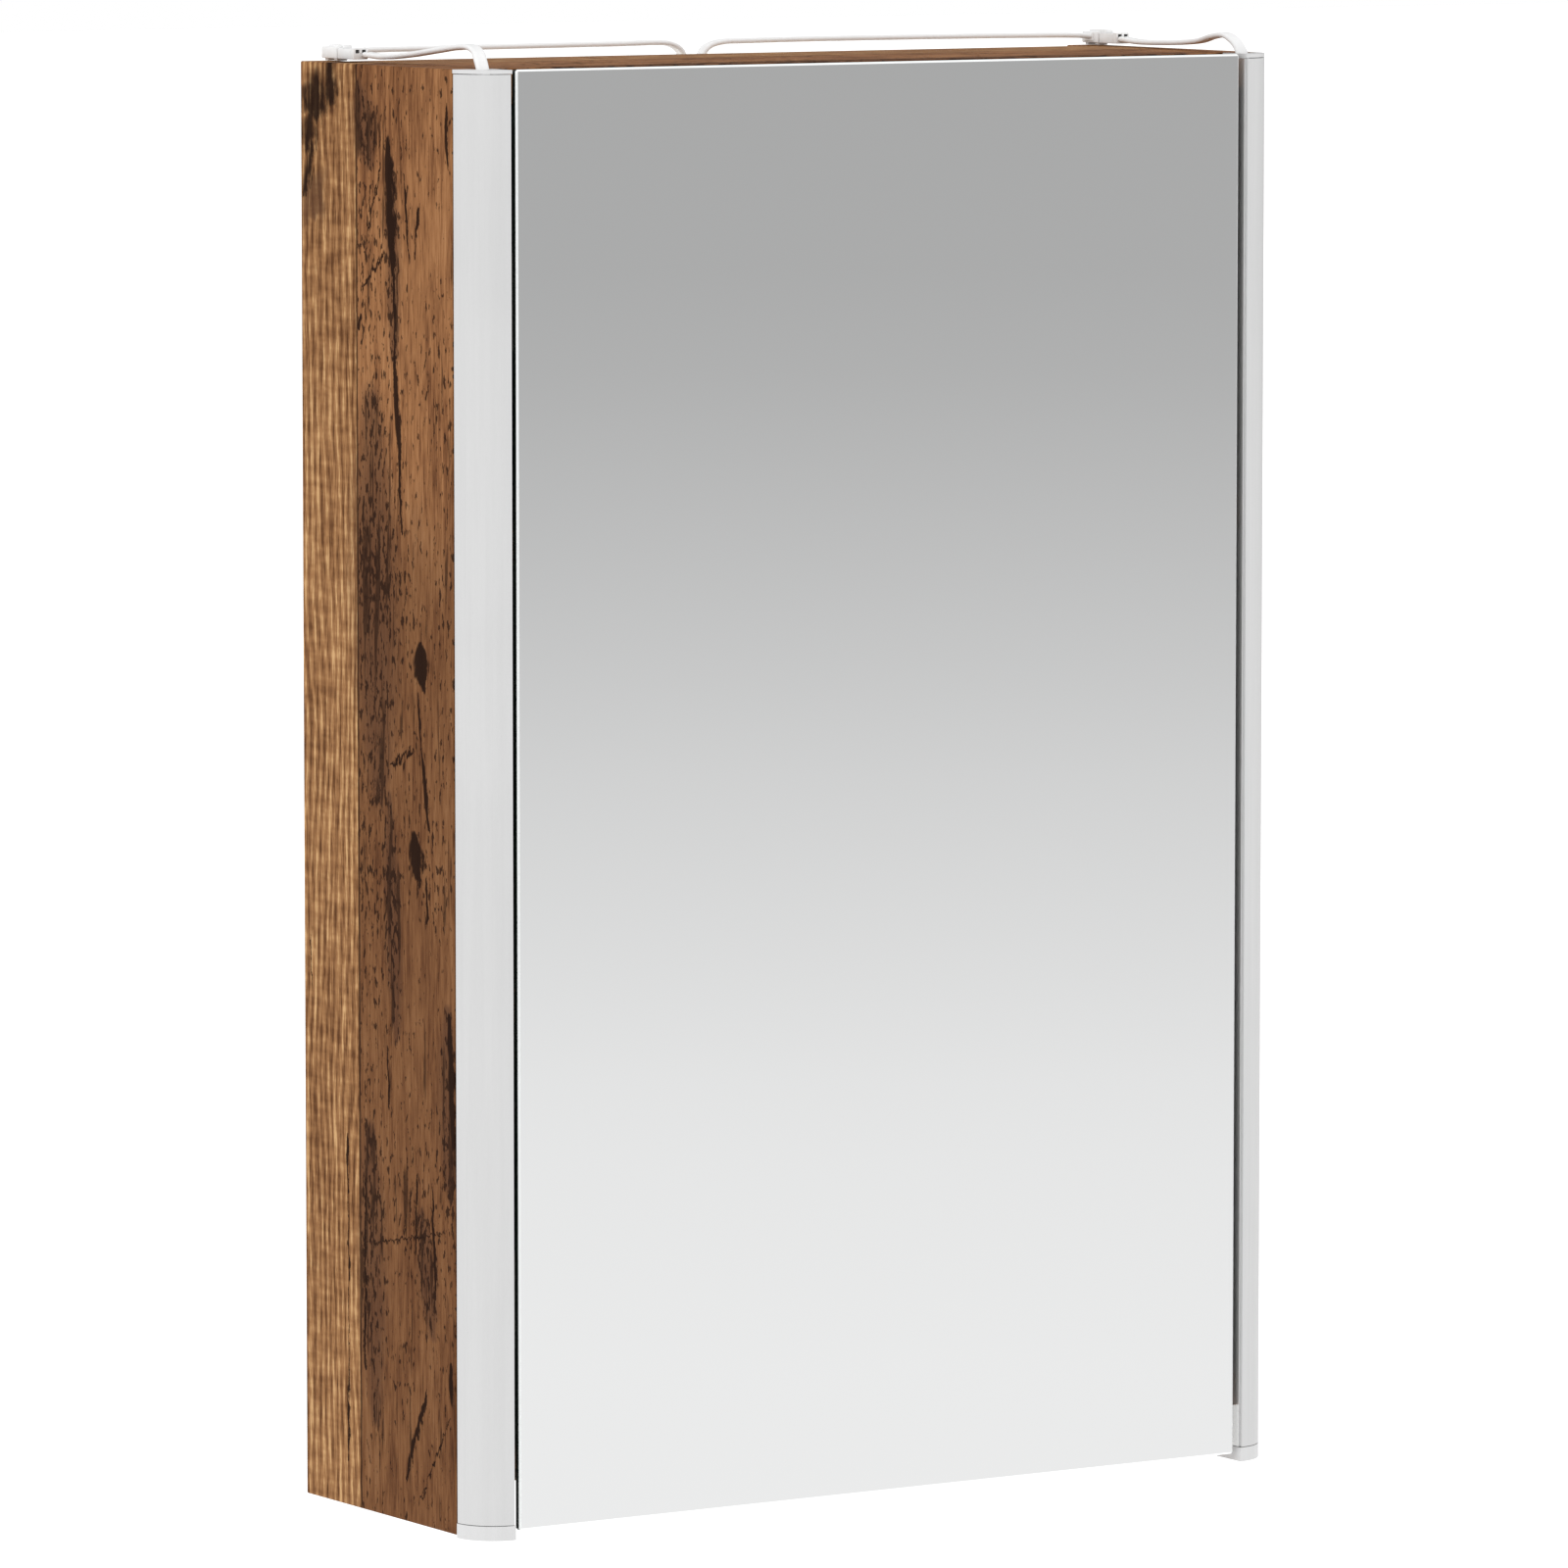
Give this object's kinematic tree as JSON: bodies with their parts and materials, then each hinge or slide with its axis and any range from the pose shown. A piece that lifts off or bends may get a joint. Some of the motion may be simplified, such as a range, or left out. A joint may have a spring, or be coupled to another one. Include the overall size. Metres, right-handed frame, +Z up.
{
  "type": "hanging wall cabinet",
  "caption": "Hanging bathroom cabinet with one mirror door, inner shelves and an upright quarter-round LED lamp at each front edge, wired over the top.",
  "frame": {"origin": "on the wall plane, at the middle of the width, level with the lower edges of the side panels", "axes": "+X to the right of the width, +Y into the wall, +Z up; the door faces -Y"},
  "size_m": [0.398, 0.14, 0.6107],
  "materials": {
    "old_wood_print": "melamine faced board printed as weathered old planks, satin",
    "back_board": "thin lacquered fibreboard, light grey",
    "opal_diffuser": "opal white acrylic, satin",
    "lamp_white": "glossy white coated profile and caps",
    "led_board": "white solder mask with yellow light chips",
    "connector_white": "white moulded nylon",
    "lead_white": "white flexible insulation",
    "driver_white": "white moulded housing",
    "mirror_glass": "silvered float glass with ground edges",
    "nickel_steel": "nickel plated sheet steel",
    "dowel_beech": "fluted beech, raw",
    "clear_bumper": "clear soft polyurethane",
    "catch_white": "white moulded housing"
  },
  "bodies": {
    "carcass": {"back_panel": "back_board", "bottom_panel": "old_wood_print", "connector_plug_left": "connector_white", "connector_plug_right": "connector_white", "connector_socket_left": "connector_white", "connector_socket_right": "connector_white", "dowel_bottom_left_front": "dowel_beech", "dowel_bottom_left_rear": "dowel_beech", "dowel_bottom_right_front": "dowel_beech", "dowel_bottom_right_rear": "dowel_beech", "dowel_top_left_front": "dowel_beech", "dowel_top_left_rear": "dowel_beech", "dowel_top_right_front": "dowel_beech", "dowel_top_right_rear": "dowel_beech", "hinge_pin_lower": "nickel_steel", "hinge_pin_upper": "nickel_steel", "hinge_side_leaf_lower": "nickel_steel", "hinge_side_leaf_upper": "nickel_steel", "keyhole_plate_left": "nickel_steel", "keyhole_plate_right": "nickel_steel", "lamp_base_left": "lamp_white", "lamp_base_right": "lamp_white", "lamp_cap_bottom_left": "lamp_white", "lamp_cap_bottom_right": "lamp_white", "lamp_cap_top_left": "lamp_white", "lamp_cap_top_right": "lamp_white", "lamp_diffuser_left": "opal_diffuser", "lamp_diffuser_right": "opal_diffuser", "lamp_lead_left": "lead_white", "lamp_lead_right": "lead_white", "lamp_strip_left": "led_board", "lamp_strip_right": "led_board", "led_driver": "driver_white", "magnet_catch": "catch_white", "shelf_lower": "old_wood_print", "shelf_pin_lower_left_front": "nickel_steel", "shelf_pin_lower_left_rear": "nickel_steel", "shelf_pin_lower_right_front": "nickel_steel", "shelf_pin_lower_right_rear": "nickel_steel", "shelf_pin_upper_left_front": "nickel_steel", "shelf_pin_upper_left_rear": "nickel_steel", "shelf_pin_upper_right_front": "nickel_steel", "shelf_pin_upper_right_rear": "nickel_steel", "shelf_upper": "old_wood_print", "side_panel_left": "old_wood_print", "side_panel_right": "old_wood_print", "supply_lead_left": "lead_white", "supply_lead_right": "lead_white", "top_panel": "old_wood_print"},
    "door": {"bumper_bottom": "clear_bumper", "bumper_top": "clear_bumper", "door_backing": "old_wood_print", "hinge_door_leaf_lower": "nickel_steel", "hinge_door_leaf_upper": "nickel_steel", "mirror_pane": "mirror_glass", "strike_plate": "nickel_steel"}
  },
  "joints": [
    {"name": "door_swing", "type": "hinge", "parent": "carcass", "child": "door", "pos_m": [-0.1693, -0.132, 0.3], "axis": [0, 0, 1], "range_deg": [-95, 0]}
  ]
}
